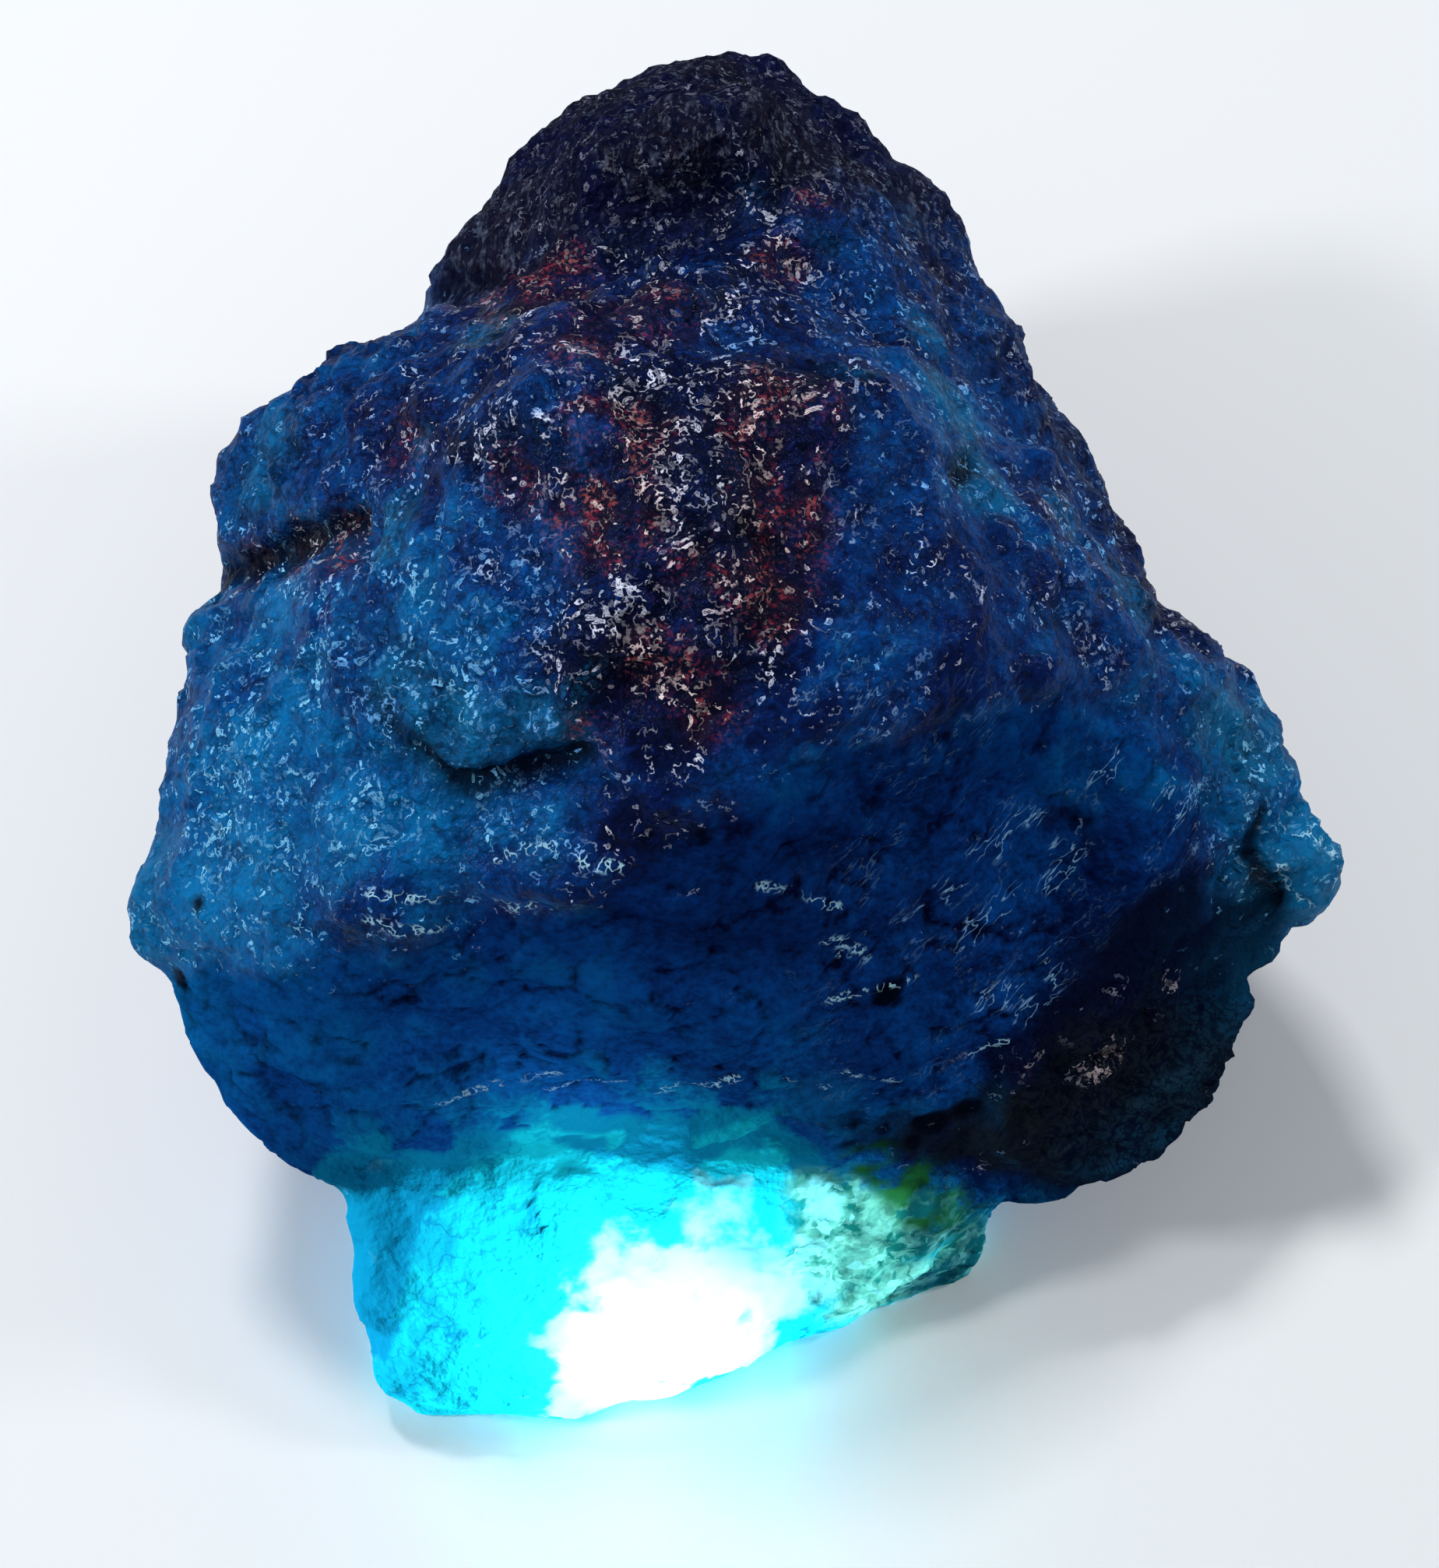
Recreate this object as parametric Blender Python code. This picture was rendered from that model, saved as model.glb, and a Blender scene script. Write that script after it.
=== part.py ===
"""A rough sapphire: one loose crystal fragment that stands on a small broken flat.

Lengths in this file are millimetres, and the finished mesh is in metres.
+Z is up, the thin toe points to -Y, the crusted crown is at +Y and the knob at +X.
"""
import bmesh
import bpy
import numpy as np
from mathutils import Vector, noise

MM = 0.001
STONE = "rough_sapphire"

# Driving dimensions of the finished fragment.
WIDTH = 37.0
DEPTH = 40.2
HEIGHT = 30.5

# The fragment is five broken masses grown together. Each mass is closed around its corners,
# (x, y, z), and around a footprint, (x, y), that lies under the floor until the stone is seated.
UNDER_FLOOR = -0.45
CALM_HEIGHT = 1.0   # the relief grows from nothing to full strength over this height
BLOCK = [
    # top, tilted towards the toe
    (-6.5, 5.0, 28.8), (-1.0, 1.6, 30.2), (4.0, 5.5, 28.8), (-1.6, 11.5, 27.6), (-9.5, 8.0, 25.4),
    # long ridge between the top and the front face
    (-10.4, -7.3, 21.5), (-4.8, -7.2, 23.7), (0.8, -5.2, 26.5), (7.0, -2.4, 25.7), (13.3, 1.2, 20.5),
    # left edge, from the back to the front
    (-11.3, 13.6, 19.0), (-15.1, 9.6, 18.0), (-16.1, 2.6, 17.0), (-18.4, -6.0, 16.0),
    # right edge and the two hidden back corners
    (8.8, 13.8, 19.5), (13.3, 5.2, 18.5), (-13.6, 14.0, 9.0), (12.8, 12.0, 9.0),
    # brow over the toe
    (-14.4, -9.7, 10.0), (-12.9, -11.5, 8.6), (-9.5, -11.2, 9.0), (-3.0, -10.8, 9.5),
    (3.1, -11.0, 9.0), (8.1, -10.7, 7.5),
]
BLOCK_FOOTPRINT = [(-13.0, -6.0), (-13.0, 5.0), (-10.0, 13.0), (1.0, 18.5), (11.0, 12.0), (11.5, -4.0)]
CROWN = [
    # rim, from the left round the back to the right
    (-9.8, 14.6, 19.0), (-7.5, 18.0, 20.0), (-5.6, 21.2, 19.5), (-2.4, 22.9, 20.0), (0.5, 22.5, 21.0),
    (2.2, 21.8, 21.5), (3.2, 19.4, 22.0), (4.9, 18.2, 22.0), (7.2, 16.9, 20.5), (8.3, 15.4, 20.0),
    # dome, and where it runs into the block
    (-4.0, 15.5, 25.8), (0.0, 16.0, 26.8), (3.0, 14.5, 26.0), (-7.0, 9.0, 24.5), (6.0, 10.0, 24.0),
    # back of the stone
    (-11.5, 13.0, 9.0), (-8.0, 18.5, 9.0), (0.0, 23.0, 9.0), (7.5, 18.5, 9.0), (11.0, 13.0, 9.0),
]
CROWN_FOOTPRINT = [(-9.0, 14.0), (0.0, 19.5), (9.0, 14.0)]
RIGHT_FACET = [
    (14.2, 4.2, 17.0), (17.1, 3.6, 16.0), (17.8, 1.6, 15.5), (18.2, -1.2, 14.5), (17.6, -4.2, 12.0),
    (13.3, 1.2, 20.5), (12.0, -3.0, 19.5), (9.5, -6.5, 15.0),
    (13.5, 8.0, 5.0), (13.0, -3.0, 4.0), (5.0, 5.0, 4.0), (5.0, 5.0, 20.0),
]
LUMP = [
    # outer edge, from the knob down to the toe
    (17.9, -4.4, 12.5), (17.6, -6.0, 10.0), (15.8, -7.9, 9.0), (15.3, -9.3, 7.8), (13.2, -10.7, 6.8),
    (11.0, -11.2, 5.4), (8.6, -11.4, 4.4),
    # face, underside and root
    (15.0, -5.0, 14.5), (12.0, -7.8, 13.2), (8.6, -10.6, 10.0), (12.0, -5.6, 15.8), (9.2, -7.2, 14.6),
    (15.0, -5.0, 4.0), (11.0, -9.0, 2.5), (7.5, -9.0, 2.0), (9.0, 0.0, 6.0), (15.0, 0.0, 8.0),
]
TOE = [
    # top, from the brow to the front edge
    (-11.5, -12.0, 7.0), (-8.5, -12.4, 8.2), (-3.0, -12.0, 8.4), (3.0, -11.8, 7.6), (8.0, -11.2, 6.0),
    (-10.5, -14.3, 4.6), (-11.0, -16.7, 1.6), (-8.0, -17.2, 2.4), (-3.0, -16.6, 2.6),
    (5.0, -13.6, 2.6), (9.0, -11.6, 3.2), (-11.0, 0.0, 6.0), (9.0, 0.0, 6.0),
]
TOE_FOOTPRINT = [
    (-10.4, -17.1), (-7.0, -17.3), (-4.3, -17.2), (-1.7, -15.7), (4.4, -13.5), (8.4, -12.6),
    (-12.5, 0.0), (10.0, 0.0),
]
MASSES = [(BLOCK, BLOCK_FOOTPRINT), (CROWN, CROWN_FOOTPRINT), (RIGHT_FACET, []), (LUMP, []),
          (TOE, TOE_FOOTPRINT)]
KNOB_CENTRE = (17.3, -2.9, 13.0)
KNOB_SIZE = (1.8, 2.0, 2.1)

GRAIN = 0.55        # side of a voxel when the masses are fused
WEAR_PASSES = 6     # smoothing that rounds the corners off
TRIANGLES = 9400    # facets before the floor cuts the underside off

# Rounded bosses: centre, radius, height.
BOSSES = {
    "upper": ((-5.0, 5.2, 29.0), 1.9, 0.55),
    "middle": ((-1.0, 2.0, 30.0), 2.3, 0.5),
    "crown_knuckle": ((2.4, 17.5, 25.0), 2.2, 0.5),
    "left_cheek": ((-12.6, 9.6, 22.0), 3.6, 0.6),
    "chin": ((-11.5, -6.0, 20.0), 3.4, 0.5),
    "front_swell": ((3.5, -8.5, 17.0), 4.6, 0.7),
}
# Grooves: the points they run through, half width, depth.
GROOVES = {
    "shoulder_crack": ([(-17.2, 5.8, 16.5), (-15.2, 5.0, 19.0), (-13.2, 4.4, 21.5), (-10.6, 3.4, 24.4)],
                       0.75, 0.9),
    "crown_valley": ([(-10.5, 13.8, 19.5), (-5.6, 13.4, 23.8), (-2.2, 12.9, 25.6), (1.2, 14.0, 26.2),
                      (3.4, 17.0, 25.0)], 1.7, 1.1),
}
# A thin broken layer lies on the top and ends in a lip that faces the toe.
LAYER_LIP = [(-11.6, -1.4, 22.4), (-9.4, -3.2, 23.6), (-6.9, -4.6, 24.4), (-4.3, -4.0, 25.6),
             (-2.8, -2.2, 27.0)]
LAYER_THICKNESS = 0.75
LAYER_REACH = 5.0
LAYER_SIDE_FADE = 1.5
LAYER_DEPTH = 4.0      # ground this far below the lip is under the layer, not on it
LAYER_DEPTH_FADE = 2.0
LIP_STEEPNESS = 0.7
LIP_WAVE = 0.5
LIP_WAVE_SIZE = 1.5
# Lumps are the broad relief, and knuckles the small one, which is rougher on crusted ground.
LUMP_SIZE = 6.5
LUMP_HEIGHT = 0.75
KNUCKLE_SIZE = 2.2
KNUCKLE_HEIGHT = 0.3
CRUSTED = {"dark_lump": ((13.5, -8.0, 9.5), 5.5), "crown": ((-1.0, 18.0, 24.0), 7.0)}
CRUST_SIZE = 1.5
CRUST_HEIGHT = 0.3
# Worn steps follow the layers in which the crystal parts.
LAYER_NORMAL = (0.25, -0.35, 0.9)
STEP_SPACING = 2.6
STEP_HEIGHT = 0.28
STEP_RISER = 0.35
STEP_WANDER = 0.45
STEP_WANDER_SIZE = 8.0


def clear_scene():
    for thing in list(bpy.data.objects):
        bpy.data.objects.remove(thing, do_unlink=True)


def add_mass(mesh, corners, footprint):
    """Close one broken mass around its corners and its footprint."""
    below = [(x, y, UNDER_FLOOR) for x, y in footprint]
    points = [mesh.verts.new(Vector(corner)) for corner in corners + below]
    hull = bmesh.ops.convex_hull(mesh, input=points, use_existing_faces=False)
    inside = {item for item in hull["geom_interior"] + hull["geom_unused"]
              if isinstance(item, bmesh.types.BMVert)}
    bmesh.ops.delete(mesh, geom=list(inside), context="VERTS")


def add_knob(mesh):
    ball = bmesh.ops.create_icosphere(mesh, subdivisions=3, radius=1.0)["verts"]
    bmesh.ops.scale(mesh, vec=Vector(KNOB_SIZE), verts=ball)
    bmesh.ops.translate(mesh, vec=Vector(KNOB_CENTRE), verts=ball)


def apply_modifiers(stone):
    graph = bpy.context.evaluated_depsgraph_get()
    finished = bpy.data.meshes.new_from_object(stone.evaluated_get(graph))
    stone.modifiers.clear()
    stone.data = finished


def grown_block():
    """All the masses grown together, with worn corners."""
    mesh = bmesh.new()
    for corners, footprint in MASSES:
        add_mass(mesh, corners, footprint)
    add_knob(mesh)
    bmesh.ops.recalc_face_normals(mesh, faces=mesh.faces)
    data = bpy.data.meshes.new(STONE)
    mesh.to_mesh(data)
    mesh.free()
    stone = bpy.data.objects.new(STONE, data)
    bpy.context.collection.objects.link(stone)
    fuse = stone.modifiers.new("fuse", "REMESH")
    fuse.mode = "VOXEL"
    fuse.voxel_size = GRAIN
    wear = stone.modifiers.new("wear", "SMOOTH")
    wear.factor = 0.5
    wear.iterations = WEAR_PASSES
    apply_modifiers(stone)
    return stone


def points_and_normals(data):
    points = np.empty(len(data.vertices) * 3)
    normals = np.empty(len(data.vertices) * 3)
    data.vertices.foreach_get("co", points)
    data.vertices.foreach_get("normal", normals)
    return points.reshape(-1, 3), normals.reshape(-1, 3)


def lumpy(points, size, octaves, seed):
    """Smooth noise from about -1 to 1, with lumps of the given size."""
    shift = Vector((seed * 17.3, seed * -9.1, seed * 4.7))
    return np.array([noise.fractal(Vector(point) / size + shift, 1.0, 2.0, octaves) for point in points])


def smooth_step(value):
    value = np.clip(value, 0.0, 1.0)
    return value * value * (3.0 - 2.0 * value)


def round_spot(points, centre, radius):
    gap = np.linalg.norm(points - np.array(centre), axis=1)
    return np.exp(-(gap / radius) ** 2)


def along(points, path, width):
    """1 on the straight stretches of a path, falling to 0 a few widths away."""
    nearest = np.full(len(points), np.inf)
    for start, end in zip(path, path[1:]):
        start = np.array(start)
        run = np.array(end) - start
        share = np.clip((points - start) @ run / (run @ run), 0.0, 1.0)
        gap = np.linalg.norm(points - start - share[:, None] * run, axis=1)
        nearest = np.minimum(nearest, gap)
    return np.exp(-(nearest / width) ** 2)


def broken_layer(points):
    """1 on the layer behind its lip, fading out at its sides, its back and below the top."""
    lip_x, lip_y, lip_z = np.array(LAYER_LIP).T
    x, y, z = points.T
    behind = y - np.interp(x, lip_x, lip_y) - LIP_WAVE * lumpy(points, LIP_WAVE_SIZE, 2, 5)
    front = smooth_step(behind / LIP_STEEPNESS + 0.5)
    back = 1.0 - smooth_step(behind / LAYER_REACH)
    left = smooth_step((x - lip_x[0]) / LAYER_SIDE_FADE)
    right = smooth_step((lip_x[-1] - x) / LAYER_SIDE_FADE + 1.0)
    on_top = smooth_step((z - np.interp(x, lip_x, lip_z) + LAYER_DEPTH) / LAYER_DEPTH_FADE)
    return front * back * left * right * on_top


def worn_steps(points):
    wander = STEP_WANDER * lumpy(points, STEP_WANDER_SIZE, 2, 3)
    level = points @ np.array(LAYER_NORMAL) / STEP_SPACING + wander
    share = level - np.floor(level)
    return smooth_step(share / STEP_RISER) - share


def weather(stone):
    """Raise and sink the surface along its normals."""
    points, normals = points_and_normals(stone.data)
    rise = LUMP_HEIGHT * lumpy(points, LUMP_SIZE, 2, 1)
    rise += KNUCKLE_HEIGHT * lumpy(points, KNUCKLE_SIZE, 3, 2)
    rise += STEP_HEIGHT * worn_steps(points)
    rise += LAYER_THICKNESS * broken_layer(points)
    crust = sum(round_spot(points, centre, radius) for centre, radius in CRUSTED.values())
    rise += CRUST_HEIGHT * crust * lumpy(points, CRUST_SIZE, 2, 4)
    for path, width, depth in GROOVES.values():
        rise -= depth * along(points, path, width)
    for centre, radius, height in BOSSES.values():
        rise += height * round_spot(points, centre, radius)
    rise *= smooth_step((points[:, 2] - UNDER_FLOOR) / CALM_HEIGHT)
    weathered = points + rise[:, None] * normals
    stone.data.vertices.foreach_set("co", weathered.ravel())
    stone.data.update()


def facet(stone):
    """Thin the mesh out, which leaves the crisp edges of broken crystal."""
    total = sum(len(polygon.vertices) - 2 for polygon in stone.data.polygons)
    thin = stone.modifiers.new("facet", "DECIMATE")
    thin.ratio = TRIANGLES / total
    thin.use_collapse_triangulate = True
    apply_modifiers(stone)


def seat(stone):
    """Cut the flat that the stone stands on."""
    mesh = bmesh.new()
    mesh.from_mesh(stone.data)
    everything = mesh.verts[:] + mesh.edges[:] + mesh.faces[:]
    cut = bmesh.ops.bisect_plane(mesh, geom=everything, dist=0.0001, plane_co=(0, 0, 0),
                                 plane_no=(0, 0, 1), clear_inner=True)
    rim = [item for item in cut["geom_cut"] if isinstance(item, bmesh.types.BMEdge)]
    bmesh.ops.holes_fill(mesh, edges=rim, sides=0)
    bmesh.ops.recalc_face_normals(mesh, faces=mesh.faces)
    mesh.to_mesh(stone.data)
    mesh.free()


def bring_to_size(stone):
    """Centre the stone over the origin and give it its driving dimensions in metres."""
    points, _ = points_and_normals(stone.data)
    low = points.min(axis=0)
    high = points.max(axis=0)
    middle = np.array([(low[0] + high[0]) / 2, (low[1] + high[1]) / 2, 0.0])
    size = np.array([WIDTH, DEPTH, HEIGHT]) * MM
    sized = (points - middle) * size / (high - low)
    stone.data.vertices.foreach_set("co", sized.ravel())
    stone.data.update()


def blue_sapphire():
    material = bpy.data.materials.new("blue_sapphire")
    material.use_nodes = True
    shader = material.node_tree.nodes["Principled BSDF"]
    shader.inputs["Base Color"].default_value = (0.01, 0.08, 0.24, 1.0)
    shader.inputs["Roughness"].default_value = 0.25
    shader.inputs["Metallic"].default_value = 0.0
    return material


def main():
    clear_scene()
    stone = grown_block()
    weather(stone)
    facet(stone)
    seat(stone)
    bring_to_size(stone)
    stone.data.materials.clear()
    stone.data.materials.append(blue_sapphire())


main()
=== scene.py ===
"""Rough sapphire: the broken surface and finish of one uncut blue crystal, and the studio it stands in.

Shapes are worked out in millimetres in the frame's own axes: +Z up, the thin toe at -Y, the crusted
crown at +Y and the knob at +X. The finished mesh is in metres.
"""
import math

import bmesh
import bpy
import numpy as np
from mathutils import Matrix, Vector, noise
from mathutils.bvhtree import BVHTree


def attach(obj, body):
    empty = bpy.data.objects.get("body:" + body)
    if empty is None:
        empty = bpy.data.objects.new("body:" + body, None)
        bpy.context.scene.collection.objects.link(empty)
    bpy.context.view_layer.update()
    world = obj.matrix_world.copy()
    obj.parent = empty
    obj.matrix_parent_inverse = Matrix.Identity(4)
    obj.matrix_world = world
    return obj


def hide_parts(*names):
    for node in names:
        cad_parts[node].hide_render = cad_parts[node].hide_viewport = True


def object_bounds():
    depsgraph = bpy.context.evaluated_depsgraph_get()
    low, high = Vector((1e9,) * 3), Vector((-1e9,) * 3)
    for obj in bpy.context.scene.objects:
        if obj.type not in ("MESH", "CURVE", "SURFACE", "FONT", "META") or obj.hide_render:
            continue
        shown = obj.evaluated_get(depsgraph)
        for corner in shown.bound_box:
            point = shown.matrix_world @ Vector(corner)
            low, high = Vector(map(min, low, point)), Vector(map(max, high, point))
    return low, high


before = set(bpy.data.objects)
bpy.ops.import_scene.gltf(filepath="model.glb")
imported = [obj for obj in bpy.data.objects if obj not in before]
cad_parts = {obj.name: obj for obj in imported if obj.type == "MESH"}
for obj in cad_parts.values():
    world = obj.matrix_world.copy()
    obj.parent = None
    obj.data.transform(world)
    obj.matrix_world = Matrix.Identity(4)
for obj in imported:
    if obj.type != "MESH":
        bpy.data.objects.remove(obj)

CAD_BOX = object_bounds()
MM = 0.001
NODE = "rough_sapphire"

# ---------------------------------------------------------------- the ground, place by place
# Each place has a centre, how blue it is (0 midnight, 1 azure), how many painted glints it carries and how
# pebbly it is.
GROUND = {
    "top_middle": ((-1.0, 1.0, 30.0), 0.08, 1.0, 1.0),
    "top_back": ((-2.0, 6.5, 27.5), 0.26, 0.7, 0.9),
    "top_front": ((-1.5, -4.9, 28.5), 0.12, 1.0, 1.0),
    "top_left": ((-8.5, 4.0, 26.5), 0.42, 0.6, 0.8),
    "upper_boss": ((-5.3, 1.8, 30.0), 0.42, 0.8, 0.7),
    "left_shoulder": ((-13.2, 6.2, 21.5), 0.56, 0.3, 0.8),
    "left_cheek": ((-13.9, -1.6, 21.2), 0.80, 0.8, 0.6),
    "left_chin": ((-14.5, -5.3, 20.3), 0.92, 1.0, 0.6),
    "low_chin": ((-16.3, -8.1, 18.2), 0.92, 0.8, 0.4),
    "under_chin": ((-15.0, -10.4, 15.0), 0.88, 0.1, 0.2),
    "azure_field": ((-11.4, -7.5, 22.7), 0.90, 1.0, 0.6),
    "shelf": ((-8.6, -3.5, 25.6), 0.76, 1.0, 0.7),
    "below_shelf": ((-5.0, -8.4, 24.4), 0.60, 0.7, 0.6),
    "ridge_left": ((-9.5, -9.9, 21.2), 0.62, 0.6, 0.5),
    "ridge_middle": ((-2.4, -9.2, 24.6), 0.26, 0.4, 0.5),
    "ridge_right": ((2.5, -6.6, 26.4), 0.52, 0.45, 0.4),
    "navy_top": ((4.4, -2.2, 27.3), 0.36, 0.45, 0.6),
    "navy_ridge": ((6.6, -4.8, 25.0), 0.40, 0.20, 0.2),
    "front_middle": ((1.2, -9.7, 22.3), 0.22, 0.05, 0.10),
    "front_upper": ((5.0, -7.6, 23.0), 0.30, 0.10, 0.20),
    "front_right": ((4.5, -11.0, 17.5), 0.28, 0.15, 0.25),
    "front_left": ((-6.0, -11.4, 19.5), 0.66, 0.15, 0.15),
    "front_low": ((0.0, -12.6, 14.0), 0.42, 0.20, 0.25),
    "front_low_left": ((-8.0, -12.6, 14.0), 0.56, 0.15, 0.20),
    "brow_left": ((-12.5, -12.5, 12.4), 0.70, 0.2, 0.3),
    "brow": ((-1.0, -13.0, 11.2), 0.66, 0.2, 0.3),
    "brow_right": ((6.5, -12.6, 12.0), 0.48, 0.4, 0.5),
    "crown_face": ((-2.0, 13.5, 25.8), 0.10, 0.5, 0.9),
    "crown_back": ((0.0, 20.0, 18.0), 0.10, 0.3, 0.7),
    "right_slope_high": ((5.0, 8.5, 24.6), 0.46, 0.8, 0.8),
    "right_slope": ((7.4, 3.4, 24.9), 0.62, 0.6, 0.4),
    "right_slope_low": ((9.8, 0.6, 22.6), 0.46, 0.8, 0.6),
    "right_edge": ((13.8, 3.0, 18.0), 0.44, 0.6, 0.9),
    "right_facet": ((11.6, -4.1, 20.3), 0.62, 0.5, 0.4),
    "right_facet_low": ((12.0, -6.6, 17.6), 0.36, 0.2, 0.3),
    "right_facet_rim": ((15.2, -3.4, 17.4), 0.76, 0.7, 0.6),
    "knob": ((17.5, -6.4, 14.6), 1.00, 0.7, 0.2),
    "left_side": ((-17.0, 0.0, 12.0), 0.60, 0.4, 0.6),
    "left_side_low": ((-13.0, -2.0, 4.0), 0.50, 0.3, 0.5),
    "left_back": ((-13.0, 12.0, 11.0), 0.34, 0.4, 0.8),
    "back_low": ((0.0, 18.0, 7.0), 0.16, 0.3, 0.8),
    "right_back": ((13.0, 10.0, 9.0), 0.30, 0.4, 0.8),
    "lump": ((12.0, -10.8, 11.4), 0.10, 0.12, 0.8),
    "right_low": ((14.5, 0.0, 7.0), 0.22, 0.2, 0.6),
    "toe_top": ((-6.0, -15.5, 7.5), 0.85, 0.05, 0.3),
}
# Spots below are a centre, a radius and a strength.
IRON = [
    ((1.6, 9.4, 25.9), 1.1, 0.9), ((2.6, 11.4, 25.4), 1.0, 0.6), ((-5.6, 8.4, 24.5), 2.1, 0.9),
    ((-7.8, 10.2, 22.5), 1.6, 0.7), ((-2.6, 5.4, 28.2), 1.5, 0.6), ((-4.2, 3.9, 29.0), 1.3, 0.6),
    ((-11.8, 0.7, 23.9), 1.2, 0.8), ((-9.4, 3.2, 25.6), 1.4, 0.5), ((-3.0, 0.8, 30.0), 1.6, 0.9),
    ((-3.4, -1.4, 29.6), 1.7, 1.0), ((1.2, 1.6, 29.4), 1.9, 0.8), ((1.4, -1.2, 29.1), 1.5, 1.0),
    ((1.0, -3.4, 29.0), 1.3, 1.0), ((-0.9, -3.3, 29.2), 1.3, 0.8), ((-2.1, -5.4, 28.0), 1.5, 0.9),
    ((-0.9, -6.3, 27.6), 1.2, 0.9), ((-3.6, -6.6, 26.4), 0.9, 0.6), ((-6.2, 0.0, 28.8), 1.2, 0.5),
    ((11.7, -11.0, 11.6), 1.2, 0.8), ((13.7, -9.0, 12.7), 0.7, 0.5), ((9.3, -11.6, 12.6), 0.8, 0.5),
    ((-12.9, 1.6, 21.6), 1.1, 0.8), ((-14.6, 2.3, 19.0), 0.9, 0.7),
]
CRUST = [
    ((-3.3, 14.0, 25.8), 5.0, 1.0), ((1.8, 14.5, 25.2), 3.8, 1.0), ((-0.3, 18.6, 22.6), 5.5, 1.0),
    ((-7.3, 14.6, 20.8), 4.2, 1.0), ((-8.6, 12.2, 20.4), 2.6, 0.9), ((5.6, 15.2, 21.5), 3.2, 0.9),
    ((0.0, 20.5, 15.0), 7.5, 0.9), ((6.0, 12.0, 21.6), 1.8, 0.7), ((9.3, 8.0, 20.0), 2.4, 0.6),
    ((11.8, 4.6, 19.2), 1.8, 0.5), ((-5.6, 11.6, 23.0), 2.0, 0.7), ((-4.6, 18.0, 21.4), 3.6, 1.0),
    ((4.4, 17.6, 21.0), 3.2, 1.0),
]
TAR = [
    ((12.4, -8.6, 14.4), 2.7, 1.0), ((14.8, -8.2, 12.4), 2.6, 1.0), ((11.2, -10.2, 13.0), 2.6, 1.0),
    ((13.4, -10.2, 10.6), 3.6, 1.0), ((10.4, -12.0, 9.8), 3.0, 1.0), ((15.2, -7.0, 8.0), 4.0, 1.0),
    ((12.6, -11.4, 8.0), 4.2, 1.0), ((8.4, -12.4, 9.0), 2.0, 1.0), ((6.8, -12.9, 9.6), 1.4, 0.9),
    ((9.5, -6.3, 19.4), 0.7, 0.6), ((8.9, -11.0, 12.6), 1.4, 0.8), ((4.8, -13.2, 10.8), 1.2, 0.7),
    ((3.5, -13.1, 11.9), 0.8, 0.6), ((6.0, -13.4, 9.9), 1.3, 0.9), ((7.2, -13.3, 9.0), 1.4, 1.0),
]
EARTHY = [((12.4, -11.2, 9.8), 3.4, 1.0), ((9.2, -12.2, 9.6), 2.6, 1.0), ((14.6, -10.4, 8.4), 2.6, 0.9),
          ((6.8, -13.2, 9.6), 1.8, 0.8)]
INCLUSIONS = [
    ((-15.7, -8.5, 18.4), 0.30, 1.0), ((-16.6, -9.7, 15.2), 0.36, 1.0), ((-0.9, -9.1, 24.9), 0.42, 1.0),
    ((-1.8, -9.9, 23.5), 0.34, 1.0), ((-0.3, -9.6, 24.0), 0.26, 0.8), ((4.5, -11.0, 17.5), 0.50, 1.0),
    ((4.9, -11.2, 16.9), 0.36, 1.0), ((-9.4, -11.7, 18.8), 0.34, 0.9), ((-15.2, -9.0, 17.2), 0.26, 0.9),
    ((-6.9, 8.0, 25.0), 0.26, 1.0), ((7.0, -4.4, 25.2), 0.30, 0.7), ((3.6, -13.2, 10.2), 0.36, 0.9),
    ((6.2, -13.0, 10.6), 0.60, 0.9), ((7.4, -12.6, 10.8), 0.50, 0.9), ((-7.2, -13.2, 13.0), 0.18, 0.8),
    ((-13.6, -10.9, 16.8), 0.24, 0.9), ((-2.0, -5.9, 28.0), 0.24, 0.8), ((9.0, -1.8, 23.4), 0.50, 0.6),
    ((3.8, -13.2, 11.6), 0.34, 1.0), ((4.7, -13.2, 10.8), 0.30, 0.9), ((5.6, -13.1, 9.8), 0.36, 0.9),
]
TEAL_PATCHES = [
    ((-7.3, 7.2, 26.0), 1.5, 0.9), ((6.5, 4.7, 24.9), 1.3, 1.0), ((7.3, 2.3, 24.8), 1.2, 0.9),
    ((6.0, 7.6, 24.4), 1.2, 0.7), ((-7.4, -6.2, 25.0), 1.7, 0.8), ((-9.4, -4.6, 24.9), 1.4, 0.7),
    ((-5.0, -6.2, 26.0), 1.3, 0.7), ((-10.0, 0.2, 26.0), 1.3, 0.7), ((-9.3, 2.6, 26.6), 0.8, 0.6),
    ((16.1, -2.4, 16.4), 1.8, 0.9), ((14.4, -2.6, 18.2), 1.3, 0.6), ((17.6, -6.4, 14.8), 2.4, 0.9),
    ((11.8, 0.4, 20.8), 1.4, 0.6), ((9.8, 2.4, 22.0), 1.2, 0.6), ((-14.6, 5.0, 21.0), 2.2, 0.5),
    ((8.0, -12.9, 11.2), 1.2, 0.5), ((5.0, -13.3, 11.0), 1.6, 0.6), ((-17.4, -6.8, 16.8), 1.6, 0.6),
    ((-16.9, 2.0, 16.6), 1.4, 0.5), ((2.6, -12.8, 12.8), 1.6, 0.8),
]
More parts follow.
